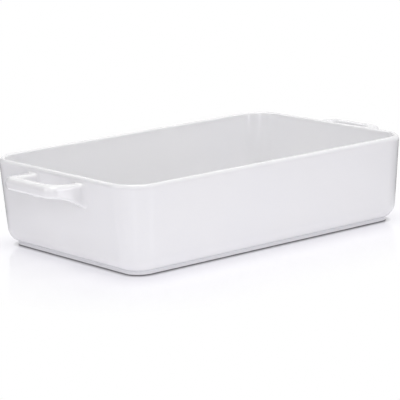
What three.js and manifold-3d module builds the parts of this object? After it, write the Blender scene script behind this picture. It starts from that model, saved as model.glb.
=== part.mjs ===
// Stoneware baking dish: a drafted dish with a round rim and a foot ring, and a loop handle luted to
// each end. Millimetres, +Z up. The origin is the middle of the foot, on the table, and +X runs along
// the dish.
import * as THREE from "three";
import Module from "manifold-3d";

// Dish
const RIM_LENGTH = 337; // outside of the rim, without the handles
const RIM_WIDTH = 219;
const HEIGHT = 83;
const RIM_CORNER_RADIUS = 29.5; // outside, seen from above
const WALL = 7; // the rim is a full round of this thickness
const DRAFT = THREE.MathUtils.degToRad(4.3);
const FLOOR = 7.5;
const FLOOR_FILLET = 14; // inside, from wall to floor
const HEEL_RADIUS = 13.5; // outside, where the wall turns under
const HEEL_TURN = THREE.MathUtils.degToRad(68); // how far it faces down when it meets the foot

// Foot ring
const FOOT_HEIGHT = 4.3;
const FOOT_STEP = 0.8; // from the end of the heel in to the foot's side
const FOOT_RING_WIDTH = 9;
const FOOT_EDGE = 1;
const FOOT_RECESS = 2.5; // how far the base inside the ring stays off the table

// Loop handles
const HANDLE_REACH = 33; // beyond the rim
const HANDLE_DROP = 6; // from the rim's crest to the handle's top at the wall
const HANDLE_RISE = 1.8; // the top climbs this much from the wall to the bar
const ROOT_SPAN = 83; // over the two roots, without their fillets
const BAR_SPAN = 72.5; // over the bar, to where its bends would meet if they were sharp
const ARM_WIDTH = 12;
const BAR_WIDTH = 9.5;
const ROOT_DEPTH = 21.5;
const BAR_DEPTH = 11.2;
const OUTER_BEND = 9;
const INNER_BEND = 6;
const STRAP_EDGE = 2.6;
const ROOT_FILLET = 4; // beside and under a root
const ROOT_TOP_FILLET = 1.6;
const LUTING_GAP = 0.3; // slip joint between a root and the wall

// Facets
const CORNER_STEPS = 12;
const RIM_STEPS = 12;
const FILLET_STEPS = 8;
const FOOT_EDGE_STEPS = 3;
const STRAP_EDGE_STEPS = 4;
const FLARE_STEPS = 6;
const ARM_STEPS = 5;
const BEND_STEPS = 8;
const MIN_CORNER_RADIUS = 0.5;

const QUARTER = Math.PI / 2;
const RIM_RADIUS = WALL / 2;
const RIM_CENTRE = HEIGHT - RIM_RADIUS;
const HANDLE_TOP = HEIGHT - HANDLE_DROP;
const WALL_TANGENT = 2 * QUARTER + DRAFT; // where an arc meets the sloping wall's face
const WALL_X = RIM_LENGTH / 2 - wallInset(HANDLE_TOP, 1); // end wall's outside, at the handle's top
const BAR_X = RIM_LENGTH / 2 + HANDLE_REACH; // bar's outside
const FLARE_TURNS = Array.from({ length: FLARE_STEPS + 1 }, (_, i) => (QUARTER * i) / FLARE_STEPS);
const ARM_SHARES = Array.from({ length: ARM_STEPS }, (_, i) => (i + 1) / ARM_STEPS);

const wasm = await Module();
wasm.setup();

function arc(centre, radius, from, to, steps) {
  return new THREE.EllipseCurve(centre.x, centre.y, radius, radius, from, to, to < from).getPoints(steps);
}

// Counterclockwise rectangle about the origin, with round corners.
function roundedRectangle(length, width, radius, steps) {
  const x = length / 2 - radius;
  const y = width / 2 - radius;
  return [[x, y], [-x, y], [-x, -y], [x, -y]].flatMap(([cornerX, cornerY], corner) => {
    const centre = new THREE.Vector2(cornerX, cornerY);
    return arc(centre, radius, corner * QUARTER, (corner + 1) * QUARTER, steps);
  });
}

// Skin over a stack of convex rings of equal counts, with a flat cap on each end.
// The rings turn by the right hand about the way the stack runs.
function loft(rings) {
  const count = rings[0].length;
  const last = (rings.length - 1) * count;
  const indices = [];
  for (let base = 0; base < last; base += count) {
    for (let i = 0; i < count; i += 1) {
      const a = base + i;
      const b = base + ((i + 1) % count);
      indices.push(a, b, b + count, a, b + count, a + count);
    }
  }
  for (let i = 1; i < count - 1; i += 1) {
    indices.push(0, i + 1, i);
    indices.push(last, last + i, last + i + 1);
  }
  const geometry = new THREE.BufferGeometry();
  geometry.setFromPoints(rings.flat());
  geometry.setIndex(indices);
  return geometry;
}

function toSolid(geometry) {
  const vertProperties = new Float32Array(geometry.getAttribute("position").array);
  const triVerts = new Uint32Array(geometry.getIndex().array);
  return new wasm.Manifold(new wasm.Mesh({ numProp: 3, vertProperties, triVerts }));
}

function toGeometry(solid) {
  const { vertProperties, triVerts } = solid.getMesh();
  const geometry = new THREE.BufferGeometry();
  geometry.setAttribute("position", new THREE.BufferAttribute(vertProperties, 3));
  geometry.setIndex(new THREE.BufferAttribute(triVerts, 1));
  return geometry;
}

// Inset of the sloping wall from the rim's outside: face 1 is the outer face and -1 the inner one.
function wallInset(height, face) {
  return RIM_RADIUS - (face * RIM_RADIUS) / Math.cos(DRAFT) + (RIM_CENTRE - height) * Math.tan(DRAFT);
}

// Centre of an arc that leaves the wall's face and ends at a height, facing a turn below level.
function turnCentre(radius, turn, endHeight, face) {
  const height = endHeight + radius * Math.sin(turn);
  return new THREE.Vector2(wallInset(height, face) + radius / Math.cos(DRAFT), height);
}

// Profiles run in insets from the rim's outside and heights over the table.
function footProfile() {
  const outside = heelProfile()[0].x + FOOT_STEP;
  const inside = outside + FOOT_RING_WIDTH;
  const edge = new THREE.Vector2(outside + FOOT_EDGE, FOOT_EDGE);
  return [
    new THREE.Vector2(inside + FOOT_RECESS, FOOT_RECESS),
    new THREE.Vector2(inside, 0),
    ...arc(edge, FOOT_EDGE, 3 * QUARTER, 2 * QUARTER, FOOT_EDGE_STEPS),
    new THREE.Vector2(outside, FOOT_HEIGHT),
  ];
}

function heelProfile() {
  const centre = turnCentre(HEEL_RADIUS, HEEL_TURN, FOOT_HEIGHT, 1);
  return arc(centre, HEEL_RADIUS, 2 * QUARTER + HEEL_TURN, WALL_TANGENT, FILLET_STEPS);
}

function rimProfile() {
  return arc(new THREE.Vector2(RIM_RADIUS, RIM_CENTRE), RIM_RADIUS, WALL_TANGENT, DRAFT, RIM_STEPS);
}

function floorFilletProfile() {
  const centre = turnCentre(FLOOR_FILLET, QUARTER, FOOT_RECESS + FLOOR, -1);
  return arc(centre, FLOOR_FILLET, WALL_TANGENT, 3 * QUARTER, FILLET_STEPS);
}

function dishRing(inset, height) {
  const radius = Math.max(RIM_CORNER_RADIUS - inset, MIN_CORNER_RADIUS);
  const outline = roundedRectangle(RIM_LENGTH - 2 * inset, RIM_WIDTH - 2 * inset, radius, CORNER_STEPS);
  return outline.map(({ x, y }) => new THREE.Vector3(x, y, height));
}

function dishBody() {
  const profile = [...footProfile(), ...heelProfile(), ...rimProfile(), ...floorFilletProfile()];
  return loft(profile.map(({ x: inset, y: height }) => dishRing(inset, height)));
}

// The outside of the dish as a solid block, with room for the slip, to seat a handle's roots against.
function handleSeat() {
  const crest = rimProfile().slice(0, RIM_STEPS / 2 + 1);
  const profile = [...heelProfile(), ...crest];
  return loft(profile.map(({ x: inset, y: height }) => dishRing(inset - LUTING_GAP, height)));
}

// One edge of half the strap, seen from above: from inside the wall out along the splayed arm and
// round the bend to the bar. The first steps out of the wall follow the root's fillet.
function strapEdge(root, corner, bendRadius) {
  const { x: run, y: rise } = corner.clone().sub(root);
  const heading = Math.atan2(rise, run);
  const tangent = bendRadius * Math.tan((heading + QUARTER) / 2);
  const armReach = run - tangent * Math.cos(heading);
  const fillet = Math.min(ROOT_FILLET, armReach / 2);
  const reaches = [
    -WALL,
    ...FLARE_TURNS.map((turn) => fillet * (1 - Math.cos(turn))),
    ...ARM_SHARES.map((share) => THREE.MathUtils.lerp(fillet, armReach, share)),
  ];
  const arm = reaches.map((reach) => new THREE.Vector2(root.x + reach, root.y + (reach * rise) / run));
  const bendCentre = new THREE.Vector2(corner.x - bendRadius, corner.y - tangent);
  return [...arm, ...arc(bendCentre, bendRadius, heading + QUARTER, 0, BEND_STEPS).slice(1)];
}

// The strap's rounded section between its two edges. The underside arches down towards the wall,
// the fillet swells the section there, and the section leans with the wall's draft.
function strapRing(outer, inner, swell) {
  const middle = inner.clone().lerp(outer, 0.5);
  const across = outer.clone().sub(inner);
  const share = THREE.MathUtils.clamp((middle.x - WALL_X) / (BAR_X - BAR_WIDTH / 2 - WALL_X), 0, 1);
  const flatTop = HANDLE_TOP + HANDLE_RISE * share;
  const depth = THREE.MathUtils.lerp(BAR_DEPTH, ROOT_DEPTH, (1 - share) ** 2);
  const top = flatTop + ROOT_TOP_FILLET * swell;
  const bottom = flatTop - depth - ROOT_FILLET * swell;
  const width = across.length() + 2 * ROOT_FILLET * swell;
  const edge = Math.min(STRAP_EDGE, BAR_WIDTH / 3, BAR_DEPTH / 3) + ROOT_TOP_FILLET * swell;
  const lean = Math.tan(DRAFT) * (1 - share);
  across.normalize();
  return roundedRectangle(width, top - bottom, edge, STRAP_EDGE_STEPS).map(({ x, y }) => {
    const height = (top + bottom) / 2 + y;
    const place = middle.clone().addScaledVector(across, x);
    return new THREE.Vector3(place.x + (height - HANDLE_TOP) * lean, place.y, height);
  });
}

// The handle at the +X end, its roots cut to the sloping wall.
function loopHandle() {
  const outerRoot = new THREE.Vector2(WALL_X, ROOT_SPAN / 2);
  const outerCorner = new THREE.Vector2(BAR_X, BAR_SPAN / 2);
  const innerRoot = new THREE.Vector2(WALL_X, ROOT_SPAN / 2 - ARM_WIDTH);
  const gapShare = (BAR_X - BAR_WIDTH - WALL_X) / (BAR_X - WALL_X);
  const innerCorner = outerRoot.clone().lerp(outerCorner, gapShare);
  innerCorner.y -= ARM_WIDTH;

  const outerEdge = strapEdge(outerRoot, outerCorner, OUTER_BEND);
  const innerEdge = strapEdge(innerRoot, innerCorner, INNER_BEND);
  const half = outerEdge.map((outer, i) => {
    const turn = FLARE_TURNS[Math.max(i - 1, 0)] ?? QUARTER;
    return strapRing(outer, innerEdge[i], 1 - Math.sin(turn));
  });
  const acrossTheDish = ({ x, y, z }) => new THREE.Vector3(x, -y, z);
  const otherHalf = half.toReversed().map((ring) => ring.map(acrossTheDish));
  const strap = loft([...half, ...otherHalf]);
  return toGeometry(toSolid(strap).subtract(toSolid(handleSeat())));
}

function glazedPiece(name, geometry) {
  const glaze = new THREE.MeshStandardMaterial({ color: 0xecece9, roughness: 0.16, metalness: 0 });
  const piece = new THREE.Mesh(geometry, glaze);
  piece.name = name;
  return piece;
}

const rightHandle = glazedPiece("right_handle", loopHandle());
const leftHandle = glazedPiece("left_handle", loopHandle());
leftHandle.rotation.z = Math.PI;

const bakingDish = new THREE.Group();
bakingDish.add(glazedPiece("dish_body", dishBody()), rightHandle, leftHandle);

export default bakingDish;
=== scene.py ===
"""White-glazed stoneware baking dish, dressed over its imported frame. Metres, +Z up, +X along the dish."""

import math

import bmesh
import bpy
from mathutils import Matrix, Vector


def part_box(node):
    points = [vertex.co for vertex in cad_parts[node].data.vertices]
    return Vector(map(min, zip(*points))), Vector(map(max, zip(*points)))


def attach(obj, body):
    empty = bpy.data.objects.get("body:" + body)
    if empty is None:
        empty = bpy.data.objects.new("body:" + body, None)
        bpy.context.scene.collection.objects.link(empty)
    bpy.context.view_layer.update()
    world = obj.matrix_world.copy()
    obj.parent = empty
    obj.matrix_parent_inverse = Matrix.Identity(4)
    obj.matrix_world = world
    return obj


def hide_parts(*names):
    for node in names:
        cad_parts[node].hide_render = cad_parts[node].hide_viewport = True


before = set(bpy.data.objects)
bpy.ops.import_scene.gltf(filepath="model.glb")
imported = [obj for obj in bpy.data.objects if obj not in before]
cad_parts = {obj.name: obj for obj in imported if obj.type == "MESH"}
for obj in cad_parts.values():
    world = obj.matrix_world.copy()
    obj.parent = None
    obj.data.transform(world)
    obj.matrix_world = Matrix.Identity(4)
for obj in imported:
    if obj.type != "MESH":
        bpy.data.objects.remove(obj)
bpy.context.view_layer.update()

# Dish, with its outside sizes from the frame
BODY_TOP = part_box("dish_body")[1]
HALF_LENGTH = BODY_TOP.x
HALF_WIDTH = BODY_TOP.y
HEIGHT = BODY_TOP.z
CORNER_RADIUS = 0.0295  # outside of the rim, seen from above
WALL = 0.007
SHOULDER_RADIUS = 0.0045  # the rim falls off softly outwards and turns in tightly
SHOULDER_TURN = math.radians(50)
CREST_RADIUS = 0.0026
INNER_EDGE = 0.0022
FLARE_TILT = math.radians(8.5)  # the inside opens out a little towards the rim
FLARE_RADIUS = 0.5
DRAFT = math.radians(4.3)
FLOOR_TOP = 0.010
FLOOR_FILLET = 0.014
HEEL_RADIUS = 0.0135  # where the wall turns under
HEEL_TURN = math.radians(68)

# Foot ring
FOOT_HEIGHT = 0.0043
FOOT_CREASE = 0.0009  # glaze fills the crease between heel and foot to this radius
FOOT_EDGE = 0.001
FOOT_RING_WIDTH = 0.009
FOOT_RECESS = 0.0025
FOOT_INSET = 0.0152  # from the rim's outside
BASE_MARGIN = 0.003  # flat stretch of the base beside the ring

# Loop handles
BAR_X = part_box("right_handle")[1].x  # outside of the bar
HANDLE_DROP = 0.006
HANDLE_RISE = 0.0018
HALF_ROOT_SPAN = 0.0415
HALF_BAR_SPAN = 0.03625
ARM_WIDTH = 0.012
BAR_WIDTH = 0.0095
ROOT_DEPTH = 0.0215
BAR_DEPTH = 0.0112
OUTER_BEND = 0.0105
INNER_BEND = 0.006
BAR_OUTER_EDGE = 0.0056  # the bar is rounder on top outside than the arms
STRAP_EDGE = 0.0028
STRAP_LOW_EDGE = 0.0035
ROOT_FILLET = 0.004  # how far a root's flare reaches out from the wall
ROOT_SPREAD = 0.005  # and how far it spreads along the wall
ROOT_UNDER_FILLET = 0.001
ROOT_TOP_FILLET = 0.0016
ROOT_SINK = 0.002  # how far the root runs on inside the wall

# Steps of the round stretches
CORNER_STEPS = 28
SHOULDER_STEPS = 16
CREST_STEPS = 8
HEEL_STEPS = 14
FILLET_STEPS = 14
SMALL_STEPS = 5
STRAP_EDGE_STEPS = 8
ROOT_STEPS = 12
ARM_STEPS = 8
BEND_STEPS = 12

# Camera, at the photograph's viewing angle
CAMERA_AZIMUTH = math.radians(-39.02)
CAMERA_ELEVATION = math.radians(12.0)
CAMERA_ROLL = math.radians(-1.97)
CAMERA_DISTANCE = 1.9073  # from the dish's middle
CAMERA_SLIDE = Vector((-0.0029, -0.0110))  # right and up, so that the dish lies in the frame as photographed
CAMERA_LENS = 182.06  # millimetres
SENSOR_WIDTH = 36.0

# Colours, linear
GLAZE_FULL = (0.830, 0.828, 0.838, 1)
GLAZE_THIN = (0.852, 0.847, 0.842, 1)  # a little warmer
GLAZE_POOL = (0.790, 0.792, 0.810, 1)  # where the glaze lies thick
# The bare clay and its grain are painted much darker than bare stoneware, as painted contact shadow along the
# foot's bottom edge; pinholes take the same colour.
BARE_CLAY_WITH_PAINTED_SHADOW = (0.185, 0.182, 0.185, 1)  # on the standing ring
CLAY_GRAIN_WITH_PAINTED_SHADOW = (0.120, 0.118, 0.120, 1)
FLOOR_WHITE = (0.90, 0.89, 0.91, 1)
FLOOR_SEEN = (0.46, 0.455, 0.465, 1)  # the same to the camera, which sees its glow too
WHITE = (1, 1, 1, 1)
DARK = (0.02, 0.02, 0.02, 1)

# Finish of the glaze
CLOUD_SIZE = 0.07  # soft clouds of thicker and thinner glaze
CLOUD_RANGE = (0.35, 0.65)  # values of the noise between which the glaze thins
CLOUD_THINNING = 0.35  # share of the way from full to thin
MOTTLE_SIZE = 0.0022
MOTTLE_RANGE = (0.3, 0.7)
MOTTLE_THINNING = 0.3
RIM_THINNING = 0.5
STRAP_THINNING = 0.4
PEEL_SIZE = 0.006  # faint orange peel
PEEL_HEIGHT = 0.000010
WAVE_SIZE = 0.045  # slow waves from the mould and the drying
WAVE_HEIGHT = 0.00012
PIT_SPACING = 0.008  # pinholes, of which few cut the surface
PIT_RADIUS = 0.0002
PIT_DEPTH = 0.00006
PIT_STAIN = 0.3
GLAZE_ROUGHNESS = (0.05, 0.11)  # in patches
ROUGHNESS_SIZE = 0.02
ROUGHNESS_RANGE = (0.3, 0.7)
GLAZE_LINE = 0.0010  # glaze is wiped off below this height
GLAZE_LINE_SOFTNESS = 0.0003
GLAZE_LINE_WOBBLE = 0.0003
WOBBLE_SIZE = 0.015
POOL_TOP = 0.0062  # glaze gathers in the crease over the foot
CLAY_ROUGHNESS = 0.85
CLAY_GRAIN_SIZE = 0.0006
CLAY_GRAIN_RANGE = (0.4, 0.7)
CLAY_GRAIN_HEIGHT = 0.00008

# Light: azimuth from the front, elevation, distance, size, power and tint of each softbox
NEUTRAL = (1, 1, 1)
COOL = (0.985, 0.975, 1.025)
SOFTBOXES = {
    "overhead_softbox": (0, 88, 1.5, (0.8, 0.8), 10.8, NEUTRAL),
    "right_softbox": (85, 50, 1.5, (0.5, 0.6), 1.2, NEUTRAL),
    "back_softbox": (-172, 42, 1.5, (0.6, 0.6), 0.5, NEUTRAL),
    "left_strip": (-51, 20, 1.5, (0.16, 0.9), 2.3, COOL),
    "right_strip": (8, 20, 1.5, (0.16, 0.9), 2.8, COOL),
    "left_softbox": (-105, 28, 1.5, (0.6, 0.6), 2.1, COOL),
}
FILL = (0.430, 0.430, 0.440, 1)  # light from all round, as from the walls of a white tent

# Dark parts of the room, which the glaze shows between the lamps: azimuth from, azimuth to and height
ROOM_RADIUS = 2.5
ROOM_STEPS = 32
DARK_SCREENS = {
    "dark_front": (-100, 75, 0.65),
    "dark_back_left": (-195, -130, 1.8),
}

# Dark flags on the floor behind and beside the dish, which draw its edges in the glaze: middle and half size
FLAGS = {
    "flag_behind": ((-0.12, 0.31), (0.32, 0.19)),
    "flag_right": ((0.40, -0.05), (0.22, 0.30)),
}
FLAG_HEIGHT = 0.0005
FLAG_SOFTNESS = (0.6, 1.0)  # shares of the half size between which a flag fades out

# Floor: a white shooting table, lit a little from below
FLOOR_HALF_SIZE = 8
FLOOR_ROUGHNESS = 0.12
TABLE_GLOW = 0.255
GLOW_CENTRE = (-0.2, -0.3, 0)  # the lamp under the table stands towards the near corner
GLOW_FALL = (0.2, 0.75)  # over these distances from there the glow falls off
GLOW_EDGE = 0.25  # share that is left
TABLE_GLOW_SEEN = 0.40  # the camera sees more of the glow and less of the shadow
TABLE_TINT = (0.985, 0.975, 1.03, 1)
PAINTED_CONTACT_SHADOW_REACH = 0.007  # to the camera the glow is faded out this close to the foot, as a painted contact shadow
SHADOW_REACH = (0.01, 0.13)  # over these distances from the foot the table looks plain white
GLOSS_REACH = (0.35, 0.8)  # the same, seen in the glaze

QUARTER = math.pi / 2
MERGE = 0.000005
Y_AXIS = (0, 1, 0)
Z_AXIS = (0, 0, 1)
HALF_WALL = WALL / 2
RIM_CENTRE = HEIGHT - HALF_WALL
HANDLE_TOP = HEIGHT - HANDLE_DROP
DISH_MIDDLE = Vector((0, 0, HEIGHT / 2))
CORNER = Vector((HALF_LENGTH - CORNER_RADIUS, HALF_WIDTH - CORNER_RADIUS, 0))


# Drawing with operators

def line_to(bm, tip, point):
    """Extrude a chain's last vertex to a point."""
    tip = bmesh.ops.extrude_vert_indiv(bm, verts=[tip])["verts"][0]
    tip.co = point
    return tip


def turn_about(bm, tip, centre, angle, steps):
    """Spin a chain's last vertex about a centre, in the XZ plane. A positive angle turns from up to +X."""
    made = bmesh.ops.spin(bm, geom=[tip], cent=centre, axis=Y_AXIS, angle=angle, steps=steps)
    return next(item for item in made["geom_last"] if isinstance(item, bmesh.types.BMVert))


def new_items(sequence, count_before):
    """Verts or edges that were made since there were so many of them."""
    sequence.ensure_lookup_table()
    return sequence[count_before:]


def verts_of(items):
    return [item for item in items if isinstance(item, bmesh.types.BMVert)]


def edges_of(items):
    return [item for item in items if isinstance(item, bmesh.types.BMEdge)]


def mirror_across(bm, axis):
    """Add the mirror image, across the plane through the middle."""
    everything = bm.verts[:] + bm.edges[:] + bm.faces[:]
    bmesh.ops.mirror(bm, geom=everything, matrix=Matrix.Identity(4), merge_dist=MERGE, axis=axis)


def finished_piece(bm, name, material):
    """Close up a bmesh, point its faces out and make it a smooth object."""
    bmesh.ops.remove_doubles(bm, verts=bm.verts, dist=MERGE)
    bmesh.ops.recalc_face_normals(bm, faces=bm.faces)
    for face in bm.faces:
        face.smooth = True
    mesh = bpy.data.meshes.new(name)
    bm.to_mesh(mesh)
    bm.free()
    mesh.materials.append(material)
    piece = bpy.data.objects.new(name, mesh)
    bpy.context.scene.collection.objects.link(piece)
    return piece


# Dish

def wall_inset(height, face):
    """How far the sloping wall lies in from the rim's outside. Face 1 is the outer face, -1 the inner one."""
    middle = HALF_WALL + (RIM_CENTRE - height) * math.tan(DRAFT)
    return middle - face * HALF_WALL / math.cos(DRAFT)


def section_point(inset, height):
    """A point of the dish's section, in the plane where a corner starts to turn."""
    return Vector((HALF_LENGTH - inset, CORNER.y, height))


def turn_centre(radius, turn, end_height, face):
    """Inset and height of the centre of an arc that leaves a wall's face and ends at a height."""
    height = end_height + radius * math.sin(turn)
    return wall_inset(height, face) + radius / math.cos(DRAFT), height


def draw_foot(bm, heel_end):
    """From the base under the dish, round the standing ring, up to the crease under the heel."""
    side = heel_end + FOOT_CREASE * (1 - math.cos(HEEL_TURN))
    crease_height = FOOT_HEIGHT - FOOT_CREASE * math.sin(HEEL_TURN)
    inside = side + FOOT_RING_WIDTH
    base = inside + FOOT_RECESS
    tip = bm.verts.new(section_point(base + BASE_MARGIN, FOOT_RECESS))
    tip = line_to(bm, tip, section_point(base, FOOT_RECESS))
    tip = line_to(bm, tip, section_point(inside, 0))
    tip = line_to(bm, tip, section_point(side + FOOT_EDGE, 0))
    tip = turn_about(bm, tip, section_point(side + FOOT_EDGE, FOOT_EDGE), -QUARTER, SMALL_STEPS)
    tip = line_to(bm, tip, section_point(side, crease_height))
    return turn_about(bm, tip, section_point(side - FOOT_CREASE, crease_height), HEEL_TURN, SMALL_STEPS)


def draw_rim(bm, tip):
    """Up the outer wall, over the soft shoulder and the crest, and down the inside's flare."""
    rise = SHOULDER_RADIUS - CREST_RADIUS
    centre_height = HEIGHT - CREST_RADIUS - rise * math.sin(SHOULDER_TURN)
    start_height = centre_height - SHOULDER_RADIUS * math.sin(DRAFT)
    start_inset = wall_inset(start_height, 1)
    centre_inset = start_inset + SHOULDER_RADIUS * math.cos(DRAFT)
    crest_inset = centre_inset - rise * math.cos(SHOULDER_TURN)
    tip = line_to(bm, tip, section_point(start_inset, start_height))
    tip = turn_about(
        bm, tip, section_point(centre_inset, centre_height), -DRAFT - SHOULDER_TURN, SHOULDER_STEPS)
    tip = turn_about(
        bm, tip, section_point(crest_inset, HEIGHT - CREST_RADIUS), SHOULDER_TURN - QUARTER, CREST_STEPS)
    tip = turn_about(
        bm, tip, section_point(crest_inset, HEIGHT - INNER_EDGE), FLARE_TILT - QUARTER, CREST_STEPS)
    flare = tip.co + FLARE_RADIUS * Vector((math.cos(FLARE_TILT), 0, -math.sin(FLARE_TILT)))
    return turn_about(bm, tip, flare, DRAFT - FLARE_TILT, CREST_STEPS)


def draw_dish_section(bm):
    """The dish's section as one chain, from the base round the foot, wall and rim to the inside floor."""
    heel_inset, heel_height = turn_centre(HEEL_RADIUS, HEEL_TURN, FOOT_HEIGHT, 1)
    tip = draw_foot(bm, heel_inset - HEEL_RADIUS * math.cos(HEEL_TURN))
    tip = turn_about(bm, tip, section_point(heel_inset, heel_height), DRAFT - HEEL_TURN, HEEL_STEPS)
    tip = draw_rim(bm, tip)
    fillet_inset, fillet_height = turn_centre(FLOOR_FILLET, QUARTER, FLOOR_TOP, -1)
    fullness = HALF_LENGTH - tip.co.x - wall_inset(tip.co.z, -1)
    fillet = section_point(fillet_inset + fullness, fillet_height)
    wall_side = Vector((math.cos(DRAFT), 0, -math.sin(DRAFT)))
    tip = line_to(bm, tip, fillet + wall_side * FLOOR_FILLET)
    turn_about(bm, tip, fillet, QUARTER - DRAFT, FILLET_STEPS)


def stretch(bm, edges, way):
    """Carry a chain of edges straight on to the dish's middle."""
    made = bmesh.ops.extrude_edge_only(bm, edges=edges)["geom"]
    bmesh.ops.translate(bm, verts=verts_of(made), vec=way)


def make_dish(material):
    """The dish's section spun round one corner, carried on to the middles of the sides and mirrored twice."""
    bm = bmesh.new()
    draw_dish_section(bm)
    start = bm.edges[:]
    chain = bm.verts[:] + start
    turned = bmesh.ops.spin(bm, geom=chain, cent=CORNER, axis=Z_AXIS, angle=QUARTER, steps=CORNER_STEPS)
    stretch(bm, start, (0, -CORNER.y, 0))
    stretch(bm, edges_of(turned["geom_last"]), (-CORNER.x, 0, 0))
    mirror_across(bm, "X")
    mirror_across(bm, "Y")
    bmesh.ops.remove_doubles(bm, verts=bm.verts, dist=MERGE)
    open_edges = [edge for edge in bm.edges if edge.is_boundary]
    flats = bmesh.ops.holes_fill(bm, edges=open_edges, sides=0)["faces"]
    bmesh.ops.inset_individual(bm, faces=flats, thickness=BASE_MARGIN / 2, use_even_offset=True)
    dish = finished_piece(bm, "glazed_dish", material)
    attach(dish, "root")
    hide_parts("dish_body")


# Handles

def strap_edge(root, corner, bend):
    """Plan points of one edge of half the strap: out of the wall, along the splayed arm, round the bend."""
    run = corner.x - root.x
    rise = corner.y - root.y
    heading = math.atan2(rise, run)
    tangent = bend * math.tan((heading + QUARTER) / 2)
    arm_reach = run - tangent * math.cos(heading)
    reaches = [-ROOT_SINK]
    reaches += [ROOT_FILLET * (1 - math.cos(QUARTER * i / ROOT_STEPS)) for i in range(ROOT_STEPS + 1)]
    reaches += [ROOT_FILLET + (arm_reach - ROOT_FILLET) * (i + 1) / ARM_STEPS for i in range(ARM_STEPS)]
    points = [Vector((root.x + reach, root.y + reach * rise / run)) for reach in reaches]
    centre = Vector((corner.x - bend, corner.y - tangent))
    for i in range(1, BEND_STEPS + 1):
        angle = (heading + QUARTER) * (1 - i / BEND_STEPS)
        points.append(centre + bend * Vector((math.cos(angle), math.sin(angle))))
    points.append(Vector((corner.x, 0)))
    return points


def flare_at(station):
    """Share of the root's fillet that swells the strap at a station: 1 at the wall, 0 past the fillet."""
    turned = min(max(station - 1, 0) / ROOT_STEPS, 1)
    return 1 - math.sin(QUARTER * turned)


def draw_strap_section(bm, half_width, low, high, low_edge, outer_edge, inner_edge):
    """A closed rounded section about X = 0, in the XZ plane, with the strap's outside towards +X."""
    start = bm.verts.new((0, 0, low))
    tip = line_to(bm, start, (half_width - low_edge, 0, low))
    tip = turn_about(bm, tip, (half_width - low_edge, 0, low + low_edge), -QUARTER, STRAP_EDGE_STEPS)
    tip = line_to(bm, tip, (half_width, 0, high - outer_edge))
    tip = turn_about(bm, tip, (half_width - outer_edge, 0, high - outer_edge), -QUARTER, STRAP_EDGE_STEPS)
    tip = line_to(bm, tip, (inner_edge - half_width, 0, high))
    tip = turn_about(bm, tip, (inner_edge - half_width, 0, high - inner_edge), -QUARTER, STRAP_EDGE_STEPS)
    tip = line_to(bm, tip, (-half_width, 0, low + low_edge))
    tip = turn_about(bm, tip, (low_edge - half_width, 0, low + low_edge), -QUARTER, STRAP_EDGE_STEPS)
    bm.edges.new((tip, start))


def place_strap_section(bm, outer, inner, flare, wall_x):
    """Draw the strap's section between its two edges, and return its edges.

    The top climbs to the bar, the underside arches down to the wall, and the section leans with the wall."""
    middle = (outer + inner) / 2
    across = outer - inner
    share = min(max((middle.x - wall_x) / (BAR_X - BAR_WIDTH / 2 - wall_x), 0), 1)
    flat_top = HANDLE_TOP + HANDLE_RISE * share
    depth = BAR_DEPTH + (ROOT_DEPTH - BAR_DEPTH) * (1 - share) ** 2
    top_flare = (ROOT_FILLET + ROOT_TOP_FILLET) / 2 * flare
    verts_before = len(bm.verts)
    edges_before = len(bm.edges)
    draw_strap_section(
        bm,
        across.length / 2 + ROOT_SPREAD * flare,
        flat_top - depth - ROOT_UNDER_FILLET * flare,
        flat_top + ROOT_TOP_FILLET * flare,
        STRAP_LOW_EDGE + ROOT_FILLET * flare,
        STRAP_EDGE + (BAR_OUTER_EDGE - STRAP_EDGE) * share + top_flare,
        STRAP_EDGE + top_flare,
    )
    across.normalize()
    lean = math.tan(DRAFT) * (1 - share)
    place = Matrix((
        (across.x, -across.y, lean, middle.x - HANDLE_TOP * lean),
        (across.y, across.x, 0, middle.y),
        (0, 0, 1, 0),
        (0, 0, 0, 1),
    ))
    bmesh.ops.transform(bm, matrix=place, verts=new_items(bm.verts, verts_before))
    return new_items(bm.edges, edges_before)


def make_handle(name, node, turn, material):
    """A loop handle, made at the +X end and turned about the dish's middle."""
    bm = bmesh.new()
    wall_x = HALF_LENGTH - wall_inset(HANDLE_TOP, 1)
    outer_root = Vector((wall_x, HALF_ROOT_SPAN))
    outer_corner = Vector((BAR_X, HALF_BAR_SPAN))
    inner_root = Vector((wall_x, HALF_ROOT_SPAN - ARM_WIDTH))
    gap_share = (BAR_X - BAR_WIDTH - wall_x) / (BAR_X - wall_x)
    inner_corner = outer_root.lerp(outer_corner, gap_share) - Vector((0, ARM_WIDTH))
    outer_edge = strap_edge(outer_root, outer_corner, OUTER_BEND)
    inner_edge = strap_edge(inner_root, inner_corner, INNER_BEND)

    loops = [
        place_strap_section(bm, outer, inner, flare_at(station), wall_x)
        for station, (outer, inner) in enumerate(zip(outer_edge, inner_edge))
    ]
    for edge in loops[1]:
        edge.smooth = False
    for loop, next_loop in zip(loops, loops[1:]):
        bmesh.ops.bridge_loops(bm, edges=loop + next_loop)
    bmesh.ops.holes_fill(bm, edges=loops[0], sides=0)
    mirror_across(bm, "Y")
    bmesh.ops.rotate(bm, cent=(0, 0, 0), matrix=Matrix.Rotation(turn, 3, "Z"), verts=bm.verts)
    handle = finished_piece(bm, name, material)
    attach(handle, "root")
    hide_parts(node)


# Materials

def feed(tree, socket, value):
    """Link a socket to a node's output, or set it to a plain value."""
    if isinstance(value, bpy.types.NodeSocket):
        tree.links.new(value, socket)
    else:
        socket.default_value = value


def noise(tree, place, size, detail):
    """Soft random values, with spots of about the given size."""
    node = tree.nodes.new("ShaderNodeTexNoise")
    node.inputs["Scale"].default_value = 1 / size
    node.inputs["Detail"].default_value = detail
    tree.links.new(place, node.inputs["Vector"])
    return node.outputs["Fac"]


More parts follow.
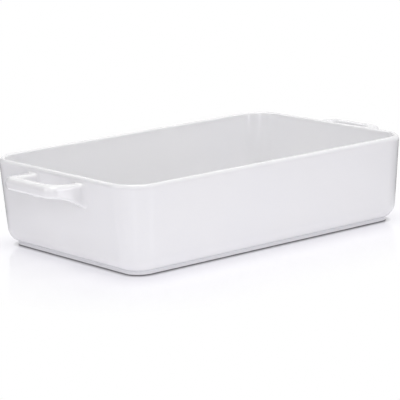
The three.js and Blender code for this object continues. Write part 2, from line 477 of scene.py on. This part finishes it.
def ranged(tree, value, start, end, low, high):
    """Carry values between start and end over to low and high, and hold them there."""
    node = tree.nodes.new("ShaderNodeMapRange")
    sockets = ("Value", "From Min", "From Max", "To Min", "To Max")
    for socket, given in zip(sockets, (value, start, end, low, high)):
        feed(tree, node.inputs[socket], given)
    return node.outputs["Result"]


def reckon(tree, operation, first, second):
    """One sum on two values."""
    node = tree.nodes.new("ShaderNodeMath")
    node.operation = operation
    feed(tree, node.inputs[0], first)
    feed(tree, node.inputs[1], second)
    return node.outputs[0]


def mixed(tree, share, first, second):
    """Mix two colours."""
    node = tree.nodes.new("ShaderNodeMix")
    node.data_type = "RGBA"
    factor, colour_a, colour_b = node.inputs[0], node.inputs[6], node.inputs[7]
    feed(tree, factor, share)
    feed(tree, colour_a, first)
    feed(tree, colour_b, second)
    return node.outputs[2]


def measure(tree, operation, first, second=None):
    """One sum on vectors. A length or distance comes out as a value."""
    node = tree.nodes.new("ShaderNodeVectorMath")
    node.operation = operation
    tree.links.new(first, node.inputs[0])
    if second is not None:
        node.inputs[1].default_value = second
    return node.outputs["Value" if operation in ("LENGTH", "DISTANCE") else "Vector"]


def object_place(tree):
    """Place of a point on the piece itself."""
    return tree.nodes.new("ShaderNodeTexCoord").outputs["Object"]


def height_of(tree, place):
    node = tree.nodes.new("ShaderNodeSeparateXYZ")
    tree.links.new(place, node.inputs[0])
    return node.outputs["Z"]


def new_group(name, inputs, outputs):
    """A node group with named sockets, with the sockets of its two ends."""
    group = bpy.data.node_groups.new(name, "ShaderNodeTree")
    for way, sockets in (("INPUT", inputs), ("OUTPUT", outputs)):
        for socket, kind in sockets.items():
            group.interface.new_socket(socket, in_out=way, socket_type=kind)
    return group, group.nodes.new("NodeGroupInput").outputs, group.nodes.new("NodeGroupOutput").inputs


def use_group(tree, group, **values):
    """Put a node group into a tree, feed it and return its outputs."""
    node = tree.nodes.new("ShaderNodeGroup")
    node.node_tree = group
    for name, value in values.items():
        feed(tree, node.inputs[name], value)
    return node.outputs


def make_pinholes():
    """Where a bubble left a pit in the glaze: 1 in a pit, 0 elsewhere."""
    group, given, result = new_group(
        "Glaze pinholes",
        {"Place": "NodeSocketVector"},
        {"Pit": "NodeSocketFloat"},
    )
    spots = group.nodes.new("ShaderNodeTexVoronoi")
    spots.inputs["Scale"].default_value = 1 / PIT_SPACING
    group.links.new(given["Place"], spots.inputs["Vector"])
    radius = PIT_RADIUS / PIT_SPACING
    pit = ranged(group, spots.outputs["Distance"], radius / 2, radius, 1, 0)
    group.links.new(pit, result["Pit"])
    return group


def make_glaze_tone():
    """Colour of the glaze, from thick to thin, in soft clouds and a fine mottle."""
    group, given, result = new_group(
        "Glaze tone",
        {"Place": "NodeSocketVector", "Thinned": "NodeSocketFloat", "Pit": "NodeSocketFloat"},
        {"Color": "NodeSocketColor"},
    )
    clouds = noise(group, given["Place"], CLOUD_SIZE, detail=2)
    clouds = ranged(group, clouds, *CLOUD_RANGE, 0, CLOUD_THINNING)
    mottle = noise(group, given["Place"], MOTTLE_SIZE, detail=3)
    mottle = ranged(group, mottle, *MOTTLE_RANGE, 0, MOTTLE_THINNING)
    thin = reckon(group, "ADD", reckon(group, "ADD", clouds, mottle), given["Thinned"])
    glaze = mixed(group, thin, GLAZE_FULL, GLAZE_THIN)
    stain = reckon(group, "MULTIPLY", given["Pit"], PIT_STAIN)
    feed(group, result["Color"], mixed(group, stain, glaze, BARE_CLAY_WITH_PAINTED_SHADOW))
    return group


def make_glaze_skin():
    """Height and roughness of the glaze's surface."""
    group, given, result = new_group(
        "Glaze skin",
        {"Place": "NodeSocketVector", "Pit": "NodeSocketFloat"},
        {"Height": "NodeSocketFloat", "Roughness": "NodeSocketFloat"},
    )
    peel = reckon(group, "MULTIPLY", noise(group, given["Place"], PEEL_SIZE, detail=2), PEEL_HEIGHT)
    wave = reckon(group, "MULTIPLY", noise(group, given["Place"], WAVE_SIZE, detail=0), WAVE_HEIGHT)
    pit = reckon(group, "MULTIPLY", given["Pit"], PIT_DEPTH)
    height = reckon(group, "SUBTRACT", reckon(group, "ADD", peel, wave), pit)
    feed(group, result["Height"], height)
    patches = noise(group, given["Place"], ROUGHNESS_SIZE, detail=3)
    feed(group, result["Roughness"], ranged(group, patches, *ROUGHNESS_RANGE, *GLAZE_ROUGHNESS))
    return group


def new_material(name):
    """A node material, with its tree and its main shader."""
    material = bpy.data.materials.new(name)
    material.use_nodes = True
    tree = material.node_tree
    return material, tree, tree.nodes["Principled BSDF"]


def relief(tree, height):
    """A normal from a height in metres."""
    bump = tree.nodes.new("ShaderNodeBump")
    bump.inputs["Distance"].default_value = 1
    tree.links.new(height, bump.inputs["Height"])
    return bump.outputs["Normal"]


def glaze_line(tree, place, height):
    """1 where the glaze is wiped off the foot, up to a slightly uneven line, and 0 above it."""
    wobble = reckon(tree, "MULTIPLY", noise(tree, place, WOBBLE_SIZE, detail=3), GLAZE_LINE_WOBBLE)
    wavy_height = reckon(tree, "ADD", height, wobble)
    return ranged(tree, wavy_height, GLAZE_LINE, GLAZE_LINE + GLAZE_LINE_SOFTNESS, 1, 0)


def make_dish_material(groups):
    """Glossy white glaze, thin on the rim, thick in the foot's crease and wiped off the standing ring, whose
    bare clay is painted dark as the contact shadow under the foot.
    """
    material, tree, shader = new_material("glaze_on_dish")
    place = object_place(tree)
    height = height_of(tree, place)
    pit = use_group(tree, groups["pinholes"], Place=place)["Pit"]
    rim = ranged(tree, height, RIM_CENTRE, HEIGHT, 0, RIM_THINNING)
    glaze = use_group(tree, groups["tone"], Place=place, Thinned=rim, Pit=pit)["Color"]
    skin = use_group(tree, groups["skin"], Place=place, Pit=pit)
    pool = reckon(
        tree, "MULTIPLY",
        ranged(tree, height, GLAZE_LINE, FOOT_HEIGHT, 0, 1),
        ranged(tree, height, FOOT_HEIGHT, POOL_TOP, 1, 0),
    )
    glaze = mixed(tree, pool, glaze, GLAZE_POOL)

    # Below the glaze line the bare clay colour also paints the contact shadow under the foot.
    bare = glaze_line(tree, place, height)
    grain = noise(tree, place, CLAY_GRAIN_SIZE, detail=2)
    clay_and_painted_shadow = mixed(tree, ranged(tree, grain, *CLAY_GRAIN_RANGE, 0, 1), BARE_CLAY_WITH_PAINTED_SHADOW, CLAY_GRAIN_WITH_PAINTED_SHADOW)
    clay_height = reckon(tree, "MULTIPLY", reckon(tree, "MULTIPLY", grain, CLAY_GRAIN_HEIGHT), bare)
    feed(tree, shader.inputs["Base Color"], mixed(tree, bare, glaze, clay_and_painted_shadow))
    feed(tree, shader.inputs["Roughness"], ranged(tree, bare, 0, 1, skin["Roughness"], CLAY_ROUGHNESS))
    feed(tree, shader.inputs["Normal"], relief(tree, reckon(tree, "ADD", skin["Height"], clay_height)))
    return material


def make_handle_material(groups):
    """The same glaze, run thin on the top of the strap."""
    material, tree, shader = new_material("glaze_on_handles")
    place = object_place(tree)
    pit = use_group(tree, groups["pinholes"], Place=place)["Pit"]
    top = ranged(tree, height_of(tree, place), HANDLE_TOP - STRAP_EDGE, HANDLE_TOP, 0, STRAP_THINNING)
    glaze = use_group(tree, groups["tone"], Place=place, Thinned=top, Pit=pit)["Color"]
    skin = use_group(tree, groups["skin"], Place=place, Pit=pit)
    feed(tree, shader.inputs["Base Color"], glaze)
    feed(tree, shader.inputs["Roughness"], skin["Roughness"])
    feed(tree, shader.inputs["Normal"], relief(tree, skin["Height"]))
    return material


# Stage

def background_ray(tree):
    """1 for rays that should meet a plain white background."""
    path = tree.nodes.new("ShaderNodeLightPath").outputs
    glossy = reckon(tree, "MAXIMUM", path["Is Camera Ray"], path["Is Glossy Ray"])
    return reckon(tree, "MAXIMUM", glossy, path["Is Transmission Ray"])


def show_in_gloss_only(thing):
    """Keep a stage piece out of the picture and out of the light: it only shows in glossy surfaces."""
    thing.visible_camera = False
    thing.visible_diffuse = False
    thing.visible_transmission = False
    thing.visible_shadow = False


def blend_surfaces(tree, share, first, second, output):
    """Blend two shaders, and lead the blend to an output node."""
    mix = tree.nodes.new("ShaderNodeMixShader")
    feed(tree, mix.inputs["Fac"], share)
    tree.links.new(first, mix.inputs[1])
    tree.links.new(second, mix.inputs[2])
    tree.links.new(mix.outputs["Shader"], tree.nodes[output].inputs["Surface"])


def from_foot(tree, place):
    """Distance of a floor point from the foot's outline."""
    mirrored = measure(tree, "ABSOLUTE", place)
    past_corner = measure(tree, "SUBTRACT", mirrored, CORNER)
    outside = measure(tree, "MAXIMUM", past_corner, (0, 0, 0))
    return reckon(tree, "SUBTRACT", measure(tree, "LENGTH", outside), CORNER_RADIUS - FOOT_INSET)


def table_glow(tree, place, distance, seen):
    """Glow of the table. Its light falls off from the lamp below, and to the camera it fades out at the foot,
    as a painted contact shadow.
    """
    from_lamp = measure(tree, "DISTANCE", place, GLOW_CENTRE)
    glow = ranged(tree, from_lamp, *GLOW_FALL, TABLE_GLOW, TABLE_GLOW * GLOW_EDGE)
    glow_seen_with_painted_shadow = ranged(tree, distance, 0, PAINTED_CONTACT_SHADOW_REACH, 0, TABLE_GLOW_SEEN)
    return ranged(tree, seen, 0, 1, glow, glow_seen_with_painted_shadow)


def make_floor_material():
    """White acrylic, which keeps the dish's shadow and reflection and is plain white further off."""
    material, tree, shader = new_material("white_acrylic")
    seen = tree.nodes.new("ShaderNodeLightPath").outputs["Is Camera Ray"]
    place = object_place(tree)
    distance = from_foot(tree, place)
    feed(tree, shader.inputs["Base Color"], mixed(tree, seen, FLOOR_WHITE, FLOOR_SEEN))
    shader.inputs["Roughness"].default_value = FLOOR_ROUGHNESS
    shader.inputs["Emission Color"].default_value = TABLE_TINT
    feed(tree, shader.inputs["Emission Strength"], table_glow(tree, place, distance, seen))

    start = ranged(tree, seen, 0, 1, GLOSS_REACH[0], SHADOW_REACH[0])
    end = ranged(tree, seen, 0, 1, GLOSS_REACH[1], SHADOW_REACH[1])
    far = ranged(tree, distance, start, end, 0, 1)
    white = reckon(tree, "MULTIPLY", far, background_ray(tree))
    plain = tree.nodes.new("ShaderNodeEmission")
    blend_surfaces(tree, white, shader.outputs["BSDF"], plain.outputs["Emission"], "Material Output")
    return material


def make_floor():
    """The table's flat top."""
    bm = bmesh.new()
    bmesh.ops.create_grid(bm, x_segments=1, y_segments=1, size=FLOOR_HALF_SIZE)
    floor = finished_piece(bm, "floor", make_floor_material())


def make_flag_material(name, middle, half_size):
    """Dark in the middle, clear towards the edges and from below."""
    material, tree, shader = new_material(name)
    tree.nodes.remove(shader)
    dark = tree.nodes.new("ShaderNodeBsdfDiffuse")
    dark.inputs["Color"].default_value = DARK
    clear = tree.nodes.new("ShaderNodeBsdfTransparent")
    place = tree.nodes.new("ShaderNodeMapping")
    place.vector_type = "TEXTURE"
    place.inputs["Location"].default_value = (*middle, FLAG_HEIGHT)
    place.inputs["Scale"].default_value = (*half_size, 1)
    tree.links.new(object_place(tree), place.inputs["Vector"])
    soft = ranged(tree, measure(tree, "LENGTH", place.outputs["Vector"]), *FLAG_SOFTNESS, 1, 0)
    from_above = reckon(tree, "SUBTRACT", 1, tree.nodes.new("ShaderNodeNewGeometry").outputs["Backfacing"])
    share = reckon(tree, "MULTIPLY", soft, from_above)
    blend_surfaces(tree, share, clear.outputs["BSDF"], dark.outputs["BSDF"], "Material Output")
    return material


def make_flag(name, middle, half_size):
    """A soft-edged dark card that lies on the floor and shows only in the glaze."""
    bm = bmesh.new()
    bmesh.ops.create_grid(bm, x_segments=1, y_segments=1, size=1)
    bmesh.ops.scale(bm, vec=(*half_size, 1), verts=bm.verts)
    bmesh.ops.translate(bm, vec=(*middle, FLAG_HEIGHT), verts=bm.verts)
    flag = finished_piece(bm, name, make_flag_material(name, middle, half_size))
    show_in_gloss_only(flag)


def make_dark_screen(name, start, end, height):
    """A dark wall that stands round part of the set and shows only in glossy surfaces."""
    bm = bmesh.new()
    corner = bm.verts.new((0, -ROOM_RADIUS, 0))
    line_to(bm, corner, (0, -ROOM_RADIUS, height))
    turn = Matrix.Rotation(math.radians(start), 3, "Z")
    bmesh.ops.rotate(bm, cent=(0, 0, 0), matrix=turn, verts=bm.verts)
    edge = bm.verts[:] + bm.edges[:]
    sweep = math.radians(end - start)
    bmesh.ops.spin(bm, geom=edge, cent=(0, 0, 0), axis=Z_AXIS, angle=sweep, steps=ROOM_STEPS)
    material, _, shader = new_material(name)
    shader.inputs["Base Color"].default_value = DARK
    shader.inputs["Roughness"].default_value = 1
    screen = finished_piece(bm, name, material)
    show_in_gloss_only(screen)


def way_to(azimuth, elevation):
    """Unit vector from the dish to something round it. The azimuth counts from the front to the right."""
    out = math.cos(elevation)
    return Vector((math.sin(azimuth) * out, -math.cos(azimuth) * out, math.sin(elevation)))


def make_softbox(name, azimuth, elevation, distance, size, power, tint):
    """An area lamp that faces the dish's middle."""
    lamp = bpy.data.lights.new(name, "AREA")
    lamp.shape = "RECTANGLE"
    lamp.size, lamp.size_y = size
    lamp.energy = power
    lamp.color = tint
    box = bpy.data.objects.new(name, lamp)
    way = way_to(math.radians(azimuth), math.radians(elevation))
    box.location = DISH_MIDDLE + way * distance
    box.rotation_euler = way.to_track_quat("Z", "Y").to_euler()
    box.visible_camera = False
    bpy.context.scene.collection.objects.link(box)


def make_world():
    """Soft fill all round, and plain white to the camera and in the glaze."""
    world = bpy.data.worlds.new("white_tent")
    world.use_nodes = True
    tree = world.node_tree
    fill = tree.nodes["Background"]
    fill.inputs["Color"].default_value = FILL
    seen = tree.nodes.new("ShaderNodeBackground")
    seen.inputs["Color"].default_value = WHITE
    both = (fill.outputs["Background"], seen.outputs["Background"])
    blend_surfaces(tree, background_ray(tree), *both, "World Output")
    bpy.context.scene.world = world


def make_camera():
    """A long lens at the photograph's angle, with its slight roll and slide."""
    flat = Vector((math.cos(CAMERA_AZIMUTH), math.sin(CAMERA_AZIMUTH), 0))
    back = way_to(CAMERA_AZIMUTH, CAMERA_ELEVATION)
    upright = back.cross(flat)
    right = math.cos(CAMERA_ROLL) * flat + math.sin(CAMERA_ROLL) * upright
    up = math.cos(CAMERA_ROLL) * upright - math.sin(CAMERA_ROLL) * flat
    lens = bpy.data.cameras.new("camera")
    lens.lens = CAMERA_LENS
    lens.sensor_width = SENSOR_WIDTH
    camera = bpy.data.objects.new("camera", lens)
    place = DISH_MIDDLE + back * CAMERA_DISTANCE + right * CAMERA_SLIDE.x + up * CAMERA_SLIDE.y
    camera.matrix_world = Matrix.Translation(place) @ Matrix((right, up, back)).transposed().to_4x4()
    bpy.context.scene.collection.objects.link(camera)
    bpy.context.scene.camera = camera


make_camera()
glaze_groups = {"pinholes": make_pinholes(), "tone": make_glaze_tone(), "skin": make_glaze_skin()}
make_dish(make_dish_material(glaze_groups))
handle_glaze = make_handle_material(glaze_groups)
make_handle("glazed_right_handle", "right_handle", 0, handle_glaze)
make_handle("glazed_left_handle", "left_handle", math.pi, handle_glaze)
make_floor()
for screen_name, screen_values in DARK_SCREENS.items():
    make_dark_screen(screen_name, *screen_values)
for flag_name, flag_values in FLAGS.items():
    make_flag(flag_name, *flag_values)
for box_name, box_values in SOFTBOXES.items():
    make_softbox(box_name, *box_values)
make_world()
bpy.context.scene.view_settings.view_transform = "Standard"
